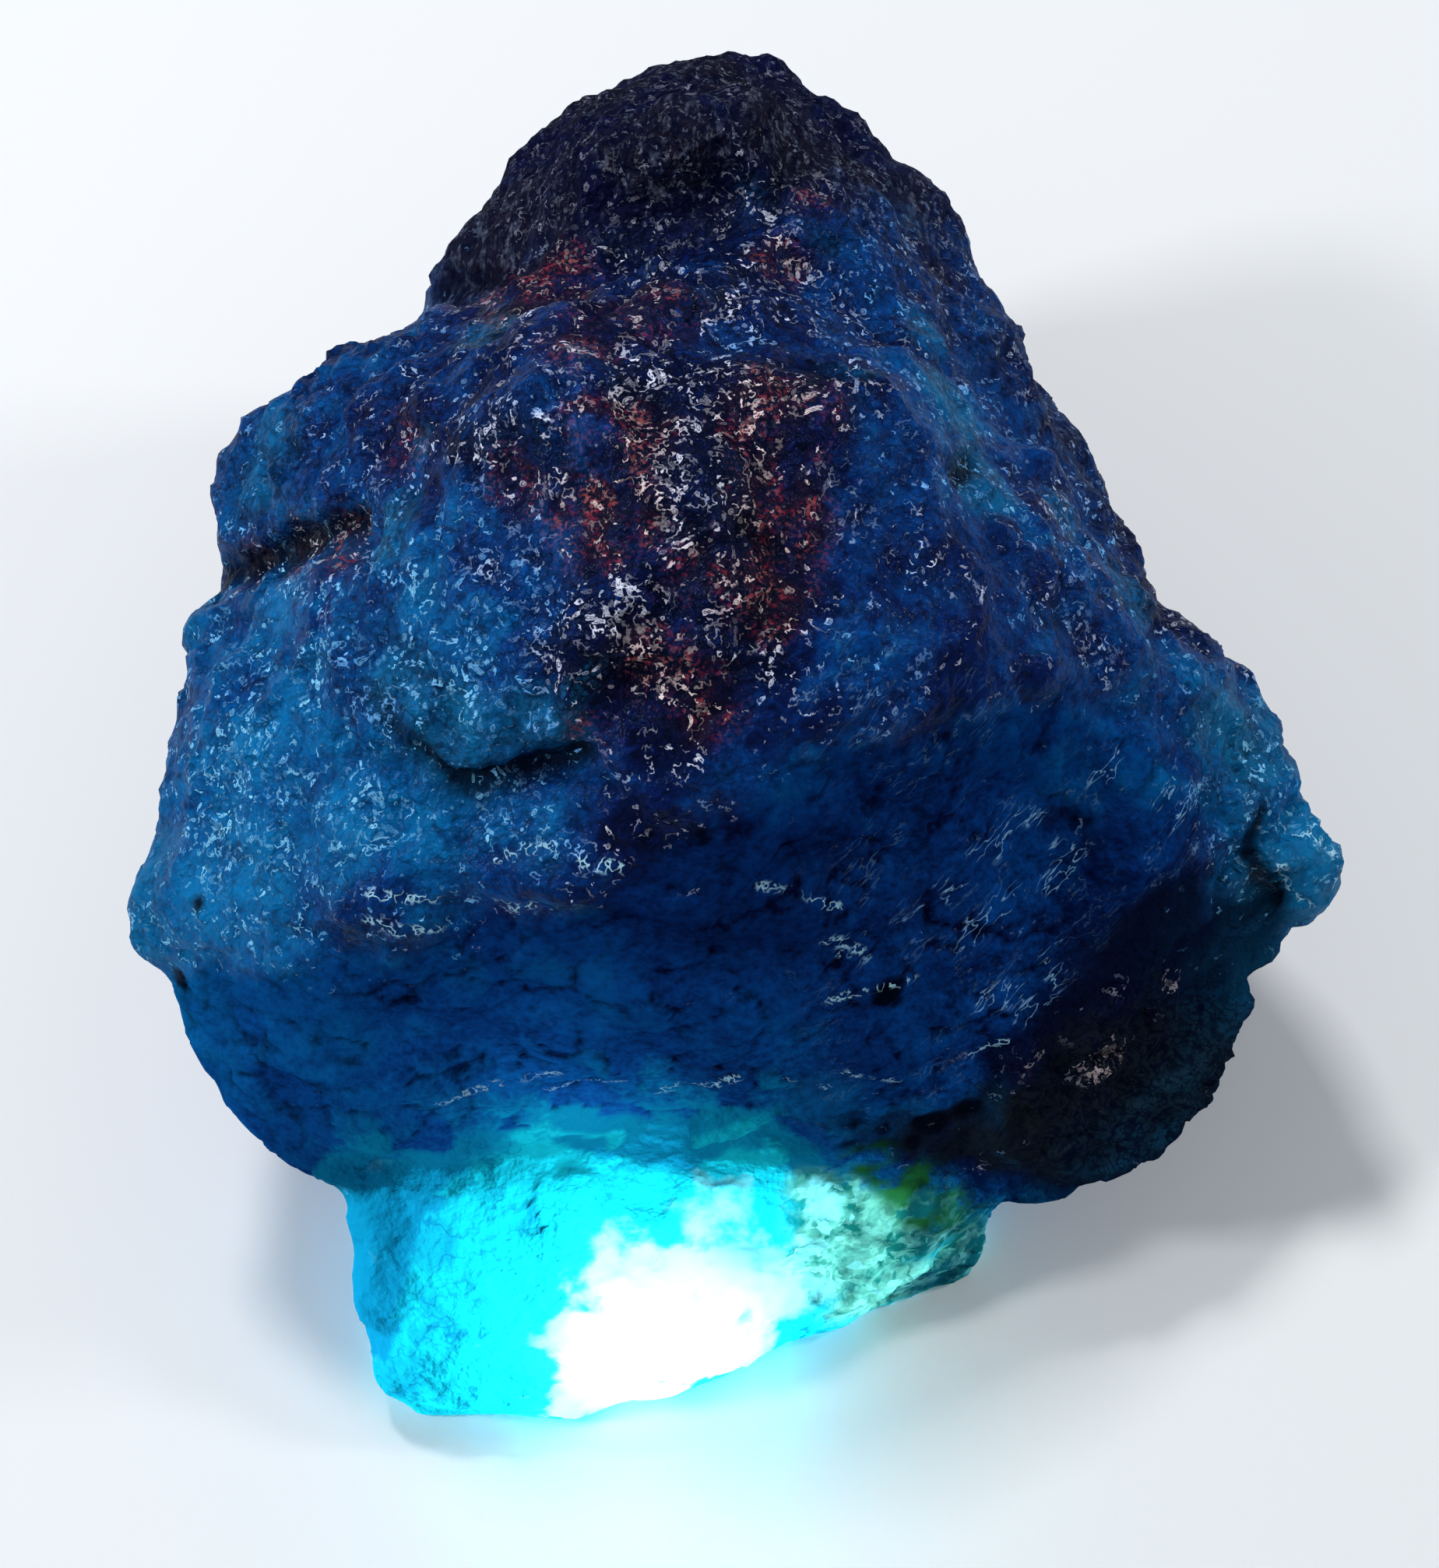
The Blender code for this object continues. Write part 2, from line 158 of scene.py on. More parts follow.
DARK_SEAMS = [
    [(-17.2, 3.4, 15.4), (-15.4, 2.6, 17.9), (-13.8, 2.0, 20.1), (-12.3, 1.4, 22.5), (-10.9, 1.2, 23.7)],
    [(-9.9, -4.6, 24.4), (-8.6, -6.5, 24.6), (-7.2, -7.4, 24.4), (-5.4, -7.2, 24.9), (-4.2, -7.0, 25.8)],
    [(-9.4, 12.0, 19.3), (-5.8, 10.6, 23.4), (-3.4, 9.9, 24.6)],
    [(0.4, 9.2, 26.0), (1.5, 12.0, 25.6), (3.4, 14.4, 24.4)],
    [(-1.9, -1.9, 29.7), (-0.8, -2.6, 29.6), (0.6, -1.9, 29.4), (2.2, -2.4, 28.8)],
    [(6.5, 2.1, 25.2), (7.4, 3.3, 24.9), (8.8, 2.7, 24.0)],
    [(16.6, -4.6, 16.0), (16.0, -5.6, 15.7), (16.1, -6.6, 15.0), (16.5, -7.4, 13.9), (17.0, -7.8, 13.0)],
]
# Paths along which bright glint lines are painted into the colour.
GLINT_LINE_PATHS = [
    [(-6.9, -10.0, 22.7), (-5.9, -10.2, 22.5), (-4.9, -10.0, 23.3)],
    [(-10.0, -9.8, 22.7), (-8.7, -9.9, 22.6), (-7.4, -9.9, 22.5)],
    [(-10.2, -10.6, 22.1), (-8.3, -10.5, 21.7)],
    [(-6.5, -9.0, 23.6), (-4.8, -8.9, 24.2)], [(-4.1, -9.4, 24.2), (-3.1, -9.6, 24.3)],
    [(0.7, -9.7, 22.8), (1.9, -9.7, 22.2), (3.0, -9.6, 21.1)], [(2.7, -10.3, 20.0), (3.8, -10.2, 19.0)],
    [(2.9, -11.4, 17.8), (3.8, -11.1, 17.9), (5.4, -10.5, 17.5)], [(-2.2, -12.6, 13.2), (0.1, -12.9, 15.0)],
    [(1.5, -12.7, 14.4), (2.9, -12.7, 13.7)], [(3.4, -12.4, 14.4), (5.3, -12.3, 13.2)],
    [(7.2, -11.5, 13.2), (8.3, -11.2, 13.8)], [(-6.4, -12.5, 13.9), (-5.4, -12.5, 14.8)],
    [(-8.9, -13.1, 13.6), (-7.1, -12.6, 13.8)], [(-5.7, -12.7, 13.2), (-3.3, -12.6, 14.1)],
    [(18.3, -6.4, 14.0), (18.2, -5.6, 14.4), (17.9, -4.8, 14.8), (17.2, -4.4, 15.4)],
    [(16.7, -6.2, 15.3), (16.9, -7.0, 14.6), (17.6, -7.2, 14.0)],
]
# Paths of painted highlights along the grooves of the front face.
GROOVE_GLINT_PATHS = [
    [(5.4, -9.3, 18.8), (6.1, -8.6, 19.8), (7.0, -7.8, 19.9), (8.1, -6.8, 19.7), (8.8, -6.3, 19.5)],
    [(6.8, -9.2, 17.9), (8.2, -8.1, 18.0)], [(8.7, -8.5, 17.2), (9.3, -7.6, 17.4), (9.9, -6.7, 18.3)],
    [(11.8, -6.7, 18.4), (12.4, -6.1, 18.6), (12.8, -5.2, 19.0)], [(7.7, -10.5, 15.3), (9.1, -9.7, 15.1)],
    [(8.2, -11.1, 14.0), (9.4, -10.1, 14.7), (9.5, -9.0, 15.9)], [(10.9, -5.1, 19.8), (11.8, -4.2, 20.1)],
    [(12.9, -6.2, 18.2), (14.0, -4.7, 18.4)], [(4.2, -9.9, 19.2), (5.4, -9.3, 18.8)],
    [(2.0, -10.6, 19.6), (2.7, -10.3, 19.8), (3.8, -10.3, 18.9)],
]
FACETED = [((17.4, -6.2, 14.8), 2.6, 1.0), ((15.2, -3.8, 17.2), 1.8, 0.6), ((-13.6, 6.0, 21.6), 3.0, 0.5)]
# Places crowded with painted glints.
SPARKLES = [
    ((-1.7, -0.7, 30.5), 0.55, 1.0), ((-1.9, -1.5, 30.0), 0.30, 0.8), ((3.4, -0.8, 28.0), 0.35, 1.0),
    ((-4.5, 3.7, 29.4), 0.35, 0.9), ((1.6, 9.9, 25.4), 0.35, 0.8), ((1.9, 9.0, 25.1), 0.5, 0.8),
    ((-9.5, 2.8, 25.6), 0.25, 0.8), ((-13.7, -4.5, 21.6), 0.45, 0.7), ((11.6, -3.1, 20.7), 0.35, 0.9),
    ((-0.5, -4.4, 29.2), 0.4, 0.6), ((-2.8, -4.5, 28.9), 0.5, 0.8), ((-8.0, -4.9, 25.9), 0.35, 0.7),
    ((-1.9, -6.1, 27.9), 0.5, 0.7), ((-5.0, 1.2, 30.0), 0.45, 0.7), ((11.7, -11.0, 11.6), 0.7, 1.0),
    ((6.6, 2.0, 25.2), 0.30, 0.8), ((7.2, 4.9, 24.2), 0.30, 0.7), ((-6.1, -1.2, 28.0), 0.4, 0.6),
    ((10.9, -11.4, 11.4), 0.5, 0.8), ((13.7, -9.0, 12.7), 0.4, 0.8), ((9.3, -11.6, 12.6), 0.4, 0.7),
    ((17.7, -4.6, 14.9), 0.4, 0.8), ((11.8, -9.5, 13.9), 0.4, 0.5),
]
# The ridge is the edge between the top and the front face: x and z of its corners.
RIDGE = [(-17.0, 15.6), (-14.4, 18.2), (-11.0, 20.6), (-7.4, 22.2), (-4.6, 23.0), (-2.4, 24.2), (0.4, 26.4),
         (3.0, 26.4), (6.6, 25.4), (9.0, 23.6), (11.6, 21.4), (14.0, 19.0), (16.0, 17.0)]
# Ways up the toe and the front are measured along this slant.
SLANT = (0.0, 0.92, 0.39)
# Where the lit toe ends, and where its cyan heart ends: x and the way up.
TOE_EDGE = [(-13.5, -9.4), (-11.0, -8.2), (-8.8, -7.8), (-7.6, -7.5), (-5.8, -6.9), (-3.3, -6.5),
            (-1.0, -7.0), (1.3, -6.4), (2.4, -7.7), (3.6, -9.2), (5.2, -9.9), (7.2, -9.9), (9.0, -10.8)]
CYAN_EDGE = [(-11.4, -15.5), (-10.4, -13.1), (-9.9, -11.1), (-9.1, -10.1), (-8.1, -8.6), (-6.9, -7.9),
             (-5.8, -7.1), (-4.9, -7.6), (-3.6, -7.9), (-2.2, -8.6), (-0.8, -8.3), (1.0, -7.6),
             (2.2, -8.8), (3.3, -9.9), (5.2, -10.7), (7.2, -10.5), (8.2, -11.8)]
TOE_SHADE = [
    ((-9.4, -15.8, 7.3), 0.9, 0.8), ((-8.4, -17.9, 5.6), 1.1, 0.8), ((-10.3, -17.6, 5.3), 1.2, 0.7),
    ((-11.5, -15.0, 7.0), 1.8, 0.8), ((-11.2, -18.3, 3.0), 1.8, 0.7), ((-7.3, -13.7, 9.9), 1.0, 0.6),
    ((-10.0, -13.9, 9.6), 1.8, 0.7), ((-6.6, -15.1, 8.3), 0.6, 0.5), ((3.6, -13.6, 9.6), 1.2, 0.6),
    ((8.4, -13.2, 4.6), 1.8, 0.9), ((-3.0, -13.6, 9.4), 0.8, 0.4),
]
TOE_GREEN = [((4.5, -13.6, 9.0), 1.1, 1.0), ((5.4, -13.9, 8.0), 1.3, 1.0),
             ((6.4, -14.3, 7.0), 1.3, 1.0), ((7.2, -14.4, 5.8), 1.2, 0.9)]
TOE_DIM = [((7.4, -14.6, 4.6), 2.0, 1.0), ((6.8, -14.2, 6.8), 1.2, 0.9), ((8.4, -13.4, 3.0), 2.4, 1.0),
           ((7.0, -15.0, 1.6), 1.8, 1.0)]
TOE_CRYSTALS = [((2.8, -14.3, 8.0), 1.0, 0.8), ((3.6, -14.8, 7.0), 1.9, 1.0), ((4.6, -15.6, 5.2), 2.2, 1.0),
                ((2.9, -16.2, 5.0), 1.8, 1.0), ((6.6, -14.6, 5.4), 2.2, 1.0), ((8.0, -13.8, 4.6), 2.2, 1.0),
                ((5.2, -16.0, 2.6), 2.4, 1.0), ((7.6, -14.6, 2.0), 2.4, 1.0)]
# Beads on the lump are a centre and a radius.
BEADS = [((16.2, -8.9, 10.5), 0.75), ((15.5, -9.7, 10.0), 0.70), ((14.9, -10.6, 9.6), 0.65),
         ((14.6, -11.3, 8.6), 0.70), ((16.8, -7.7, 11.6), 0.60), ((17.0, -7.6, 12.6), 0.45),
         ((13.2, -11.9, 7.6), 0.70), ((11.6, -12.7, 6.4), 0.60)]
CORE = [((-2.6, -17.0, 6.2), 2.6, 1.0), ((0.0, -16.4, 5.8), 1.9, 1.0), ((-4.4, -18.6, 4.4), 2.0, 1.0),
        ((-5.0, -19.6, 2.2), 1.5, 1.0), ((-1.6, -18.3, 4.0), 2.2, 1.0), ((1.3, -17.1, 4.0), 1.1, 1.0),
        ((-0.6, -15.2, 7.3), 1.6, 0.6), ((-3.0, -19.4, 1.4), 2.0, 1.0), ((0.4, -18.0, 2.0), 1.6, 1.0),
        ((2.1, -15.9, 6.0), 1.3, 0.5), ((2.9, -14.6, 7.4), 1.1, 0.6), ((2.6, -16.6, 4.0), 1.1, 0.6),
        ((0.4, -17.5, 3.3), 1.3, 1.0)]
# The knob stands out along +X: its middle, its radius and how far.
KNOB = ((18.3, -6.0, 14.2), 1.9, 0.7)
# The way that the grooves on the front run.
STRIAE_RUN = (0.66, 0.70, 0.27)

# ---------------------------------------------------------------- mesh and relief, in millimetres
# The cell of the mesh that carries the relief keeps the stone under 200,000 triangles.
VOXEL = 0.243
# Rounds of smoothing, over the whole stone and over its worn crown.
SMOOTHING = 4
CROWN_SMOOTHING = 60
# The shortest way through the stone is looked for this far, and thinness falls off over the second length.
THICK = 12.0
THIN_FADE = 2.6
# How high each kind of relief stands, or how deep the seams go.
HEIGHTS = {
    "knuckles": 0.55, "small_knuckles": 0.24, "chipped_plates": 0.16, "broad_plates": 0.14, "swells": 0.12,
    "tar_knuckles": 0.40, "crust_grain": 0.12, "grooves": 0.12, "smooth_plates": 0.08, "toe_crystals": 0.06,
    "facets": 0.42, "grain": 0.10, "seams": 0.32,
}
# The relief fades in over this height above the flat that the stone stands on.
BASE_FADE = 0.8
# How far the knob may stand past the solid's box.
KNOB_ROOM = (0.4, 0.0, 0.0)

# ---------------------------------------------------------------- optics, lamps and camera
SAPPHIRE_IOR = 1.77
# Places, sizes and distances are millimetres, and powers are watts.
BUMP_DEPTH = 0.30
# Softboxes have a way from the stone and a power; lamps inside the stone have a place and a power.
SOFTBOXES = {
    "overhead": ((-0.20, 0.40, 0.88), 0.23), "left": ((-0.75, -0.10, 0.65), 0.17),
    "right": ((0.80, 0.15, 0.58), 0.10),
}
SOFTBOX_SIZE = 30.0
SOFTBOX_DISTANCE = 220.0
STONE_MIDDLE = Vector((0.0, 0.0, 18.0))
INNER_LAMPS = {
    "torch": ((-3.0, -16.0, 2.2), 0.0075), "scattered_glow": ((-5.5, -7.0, 11.5), 0.0020),
    "side_glow": ((3.2, -12.2, 4.0), 0.0008),
}
CAMERA_ELEVATION = math.radians(67.0)
CAMERA_DISTANCE = 95.0
CAMERA_TARGET = Vector((-0.4, -2.8, 14.0))
CAMERA_LENS = 69.7


def smooth_step(value):
    value = np.clip(value, 0.0, 1.0)
    return value * value * (3.0 - 2.0 * value)


def shifted(points, size, seed):
    """Where to read a noise so that its lumps have the given size."""
    return points / size + seed * np.array([13.1, -7.7, 5.3])


def lumpy(points, size, octaves, seed):
    """Smooth noise from about -1 to 1."""
    return np.array([noise.fractal(place, 1.0, 2.0, octaves) for place in shifted(points, size, seed)])


def speckled(points, size, octaves, seed):
    """Smooth noise spread evenly to both sides of 0.5."""
    value = lumpy(points, size, octaves, seed)
    return 0.5 + 0.13 * value / value.std()


def knuckled(points, size, octaves, seed):
    """Rounded knuckles with sharp creases between them, from 0 up."""
    return np.array([noise.turbulence(place, octaves, True) for place in shifted(points, size, seed)])


def flakes(points, size, tilt, seed):
    """Broken plates: one level and one slope to each cell, from about -0.5 to 0.5."""
    heights = np.empty(len(points))
    for index, place in enumerate(shifted(points, size, seed)):
        cell = noise.voronoi(place)[1][0]
        slope = noise.cell_vector(cell * 5.9) - Vector((0.5, 0.5, 0.5))
        heights[index] = noise.cell(cell * 7.3) - 0.5 + tilt * slope.dot(Vector(place) - cell)
    return heights


def plates(points, size, seed):
    """A level from 0 to 1 for each broken plate, and how near its edge each point is."""
    levels = np.empty(len(points))
    edges = np.empty(len(points))
    for index, place in enumerate(shifted(points, size, seed)):
        gaps, cells = noise.voronoi(place)
        levels[index] = noise.cell(cells[0] * 7.3)
        edges[index] = gaps[1] - gaps[0]
    return levels, 1.0 - smooth_step(edges / 0.16)


def spots(points, places, wander=0.0):
    """The strongest of several round spots. Wander pushes their edges about."""
    cover = np.zeros(len(points))
    for centre, radius, strength in places:
        gap = np.linalg.norm(points - np.array(centre), axis=1) / radius + wander
        cover = np.maximum(cover, strength * (1.0 - smooth_step((gap - 0.6) / 0.7)))
    return cover


def distance_to_path(points, path):
    nearest = np.full(len(points), np.inf)
    for start, end in zip(path, path[1:]):
        start = np.array(start)
        run = np.array(end) - start
        share = np.clip((points - start) @ run / (run @ run), 0.0, 1.0)
        gap = np.linalg.norm(points - start - share[:, None] * run, axis=1)
        nearest = np.minimum(nearest, gap)
    return nearest


def lines(points, paths, width):
    """1 on any of the paths, falling to 0 a few widths away."""
    nearest = np.min([distance_to_path(points, path) for path in paths], axis=0)
    return np.exp(-(nearest / width) ** 2)


def read_ground(points):
    """How blue, glittery and pebbly each point is, from the places nearest to it."""
    centres = np.array([place[0] for place in GROUND.values()])
    values = np.array([place[1:] for place in GROUND.values()])
    total = np.zeros(len(points))
    mixed = np.zeros((len(points), values.shape[1]))
    for centre, value in zip(centres, values):
        weight = 1.0 / (np.sum((points - centre) ** 2, axis=1) + 1.0) ** 2.5
        total += weight
        mixed += weight[:, None] * value
    return (mixed / total[:, None]).T


# ---------------------------------------------------------------- shape
def copied_solid(node):
    """The CAD solid as one joined mesh in millimetres."""
    mesh = bmesh.new()
    mesh.from_mesh(node.data)
    bmesh.ops.remove_doubles(mesh, verts=mesh.verts, dist=1e-7)
    bmesh.ops.scale(mesh, vec=Vector((1 / MM,) * 3), verts=mesh.verts)
    data = bpy.data.meshes.new("stone")
    mesh.to_mesh(data)
    tree = BVHTree.FromBMesh(mesh)
    mesh.free()
    stone = bpy.data.objects.new("sapphire_stone", data)
    bpy.context.scene.collection.objects.link(stone)
    return stone, tree


def settle(stone):
    """Make the modifiers' result the stone's own mesh."""
    graph = bpy.context.evaluated_depsgraph_get()
    finished = bpy.data.meshes.new_from_object(stone.evaluated_get(graph))
    stone.modifiers.clear()
    stone.data = finished


def soften(stone, rounds, group=""):
    smooth = stone.modifiers.new("soften", "SMOOTH")
    smooth.factor = 0.5
    smooth.iterations = rounds
    smooth.vertex_group = group
    settle(stone)


def refine(stone):
    """An even fine mesh for the relief to move, with the worn crown rounded off."""
    even = stone.modifiers.new("even", "REMESH")
    even.mode = "VOXEL"
    even.voxel_size = VOXEL
    soften(stone, SMOOTHING)
    x, y, z = points_and_normals(stone.data)[0].T
    worn = smooth_step((y - 11.5) / 3.0) * smooth_step((z - 13.0) / 3.0)
    crown = stone.vertex_groups.new(name="crown")
    for index in np.flatnonzero(worn):
        crown.add([int(index)], float(worn[index]), "REPLACE")
    soften(stone, CROWN_SMOOTHING, "crown")


def points_and_normals(data):
    points = np.empty(len(data.vertices) * 3)
    normals = np.empty(len(data.vertices) * 3)
    data.vertices.foreach_get("co", points)
    data.vertices.foreach_get("normal", normals)
    return points.reshape(-1, 3), normals.reshape(-1, 3)


def thinness(tree, points, normals):
    """1 where a short way through the stone leads out again, falling to 0 inside thick ground."""
    thin = np.empty(len(points))
    slants = [Vector((math.cos(turn), math.sin(turn), 0.0)) for turn in np.arange(5) * math.tau / 5]
    for index, (point, normal) in enumerate(zip(points, normals)):
        inward = -Vector(normal)
        side = inward.orthogonal().normalized()
        other = inward.cross(side)
        shortest = THICK
        for slant in slants:
            way = (inward + 1.1 * (slant.x * side + slant.y * other)).normalized()
            reach = tree.ray_cast(Vector(point) + 0.15 * inward, way, shortest)[3]
            shortest = min(shortest, reach or shortest)
        thin[index] = math.exp(-shortest / THIN_FADE)
    return thin


def map_zones(stone, tree):
    """How strongly each finish and each painted glint shows at each point, from 0 to 1."""
    points, normals = points_and_normals(stone.data)
    x, y, z = points.T
    drift = np.array([lumpy(points, 3.0, 3, seed) for seed in (1, 2, 3)]).T
    wander = 0.35 * drift[:, 0]
    zones = {"cloud": speckled(points, 3.0, 3, 31), "patch": speckled(points, 1.5, 2, 32),
             "mottle": speckled(points, 0.85, 2, 33)}
    zones["plate"], zones["plate_edge"] = plates(points + 0.4 * drift, 1.4, 41)
    zones["blue"], zones["glitter"], zones["pebbles"] = read_ground(points + 1.2 * drift)
    zones["iron"] = spots(points, IRON, wander)
    zones["crust"] = spots(points, CRUST, wander)
    zones["tar"] = spots(points, TAR, wander)
    zones["earthy"] = spots(points, EARTHY, wander)
    zones["inclusion"] = spots(points, INCLUSIONS, 2.0 * wander)
    zones["teal"] = spots(points, TEAL_PATCHES, wander)
    near = points + 0.25 * drift
    zones["seam"] = np.minimum(1.4 * lines(near, DARK_SEAMS, 0.38), 1.0)
    zones["frosted"] = lines(near, GLINT_LINE_PATHS, 0.24)
    zones["scratched"] = lines(near, GROOVE_GLINT_PATHS, 0.42)
    zones["faceted"] = spots(points, FACETED, wander)
    zones["sparkle"] = spots(points, SPARKLES, wander)
    zones["edge"] = thinness(tree, points, normals)
    up = points @ np.array(SLANT)
    ragged = lumpy(points, 1.0, 2, 35)
    broken = 0.7 * (zones["plate"] - 0.5)
    above_toe = up - np.interp(x, *np.array(TOE_EDGE).T) - 0.3 * drift[:, 1] - broken
    zones["toe"] = smooth_step(0.5 - above_toe / 0.4) * smooth_step((-y - 11.6) / 0.8)
    zones["toe"] *= smooth_step((9.3 - x + drift[:, 2]) / 1.2)
    zones["bleed"] = np.exp(-np.clip(above_toe, 0.0, None) / 1.2) * smooth_step((-y - 10.0) / 2.0)
    above_cyan = up - np.interp(x, *np.array(CYAN_EDGE).T) - 0.3 * drift[:, 1] - 0.4 * ragged - broken
    zones["cyan"] = smooth_step(0.5 - above_cyan / 0.4)
    ridge_x, ridge_z = np.array(RIDGE).T
    below_ridge = np.interp(x, ridge_x, ridge_z) - z + 0.7 * drift[:, 2]
    zones["front"] = smooth_step(below_ridge / 1.6 + 0.2) * smooth_step((-y - 2.5) / 2.5)
    zones["front"] *= (1.0 - zones["tar"]) * (1.0 - smooth_step((x - 12.0) / 3.0))
    zones["glitter"] *= 1.0 - 0.8 * zones["front"]
    zones["pebbles"] *= 1.0 - 0.5 * zones["front"]
    zones["toe_shade"] = spots(points, TOE_SHADE, wander)
    zones["toe_green"] = spots(points, TOE_GREEN, wander)
    zones["toe_crystals"] = spots(points, TOE_CRYSTALS, wander)
    zones["toe_dim"] = spots(points, TOE_DIM, wander)
    zones["toe_core"] = spots(points, CORE, 0.3 * drift[:, 1] + 0.35 * ragged)
    right_front = smooth_step((-y - 3.0) / 3.0) * smooth_step((x - 1.0) / 3.0) * smooth_step((z - 9.0) / 3.0)
    zones["striated"] = right_front * (1.0 - zones["tar"]) * smooth_step(lumpy(points, 2.6, 2, 8) * 1.6 + 0.6)
    return zones


def striae(points):
    """Long parallel grooves that climb the front face from the toe to the knob."""
    run = np.array(STRIAE_RUN) / np.linalg.norm(STRIAE_RUN)
    along = points @ run
    return lumpy(points - 0.86 * along[:, None] * run, 1.0, 3, 21)


def add_relief(stone, zones):
    """Move the surface in and out, kind by kind, and draw out the knob."""
    points, normals = points_and_normals(stone.data)
    pebbles = zones["pebbles"]
    uncrusted = 1.0 - zones["crust"]
    knuckles = knuckled(points, 2.6, 2, 11)
    small = knuckled(points, 1.0, 2, 15)
    # Painted shade: the creases between knuckles are darkened in the colour.
    zones["crease"] = np.maximum(1.0 - smooth_step(knuckles / 0.34), 0.7 - smooth_step(small / 0.30))
    zones["crease"] *= pebbles
    rise = HEIGHTS["knuckles"] * pebbles * (knuckles - 0.45)
    rise += HEIGHTS["small_knuckles"] * pebbles * (small - 0.45)
    rise += HEIGHTS["chipped_plates"] * pebbles * uncrusted * flakes(points, 1.5, 1.5, 2)
    smooth_ground = np.maximum(zones["toe"], zones["front"])
    rise += HEIGHTS["broad_plates"] * flakes(points, 3.6, 1.2, 4) * (1.0 - smooth_ground) * uncrusted
    rise += HEIGHTS["swells"] * lumpy(points, 1.6, 3, 12) * (1.0 - pebbles) * (1.0 - 0.5 * smooth_ground)
    rise += HEIGHTS["tar_knuckles"] * zones["tar"] * (knuckled(points, 1.7, 3, 13) - 0.4)
    rise += HEIGHTS["crust_grain"] * zones["crust"] * lumpy(points * np.array([1.0, 0.5, 0.5]), 0.6, 2, 14)
    rise += HEIGHTS["grooves"] * zones["striated"] * striae(points)
    rise += HEIGHTS["smooth_plates"] * smooth_ground * (zones["plate"] - zones["plate_edge"])
    rise += HEIGHTS["toe_crystals"] * zones["toe_crystals"] * flakes(points, 0.6, 1.5, 6)
    rise += HEIGHTS["facets"] * zones["faceted"] * flakes(points, 1.7, 2.2, 7)
    rise += HEIGHTS["grain"] * (1.0 - smooth_ground) * lumpy(points, 0.8, 2, 16)
    rise -= HEIGHTS["seams"] * zones["seam"]
    for centre, radius in BEADS:
        gap = np.linalg.norm(points - np.array(centre), axis=1) / radius
        rise += 0.5 * radius * smooth_step(1.3 - gap)
    rise *= smooth_step((points[:, 2] - 0.05) / BASE_FADE)
    moved = points + rise[:, None] * normals
    centre, radius, reach = KNOB
    moved[:, 0] += reach * smooth_step(1.3 - np.linalg.norm(points - np.array(centre), axis=1) / radius)
    low, high = np.array(CAD_BOX) / MM
    moved = np.clip(moved, low, high + np.array(KNOB_ROOM))
    stone.data.vertices.foreach_set("co", moved.ravel())
    stone.data.update()


def store(stone, zones):
    for name, values in zones.items():
        layer = stone.data.attributes.new(name, "FLOAT", "POINT")
        layer.data.foreach_set("value", values.astype(np.float32))


def make_stone():
    stone, tree = copied_solid(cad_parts[NODE])
    refine(stone)
    zones = map_zones(stone, tree)
    add_relief(stone, zones)
    store(stone, zones)
    stone.data.transform(Matrix.Scale(MM, 4))
    stone.data.shade_smooth()
    stone.data.materials.clear()
    stone.data.materials.append(sapphire_finish())
    return stone


# ---------------------------------------------------------------- finish
class Wire:
    """One socket of a finish; arithmetic on it adds Math nodes."""

    def __init__(self, finish, socket):
        self.finish = finish
        self.socket = socket

    def math(self, operation, *values, clamp=False):
        return self.finish.node("ShaderNodeMath", {"operation": operation, "use_clamp": clamp},
                                dict(enumerate(values)))

    def __add__(self, other):
        return self.math("ADD", self, other)

    __radd__ = __add__

    def __sub__(self, other):
        return self.math("SUBTRACT", self, other)

    def __rsub__(self, other):
        return self.math("SUBTRACT", other, self)

    def __mul__(self, other):
        return self.math("MULTIPLY", self, other)

    __rmul__ = __mul__

    def __abs__(self):
        return self.math("ABSOLUTE", self)

    def at_most(self, limit):
        return self.math("MINIMUM", self, limit)

    def or_more(self, other):
        return self.math("MAXIMUM", self, other)

    def fraction(self):
        return self.math("FRACT", self)

    def output(self, name):
        """Another output of the same node."""
        return Wire(self.finish, self.socket.node.outputs[name])

    def clamped(self):
        return self.math("ADD", self, 0.0, clamp=True)

    def step(self, low, high):
        """0 below low and 1 above high, with an eased way between them."""
        return self.finish.node("ShaderNodeMapRange", {"interpolation_type": "SMOOTHSTEP"},
                                {"Value": self, "From Min": low, "From Max": high})


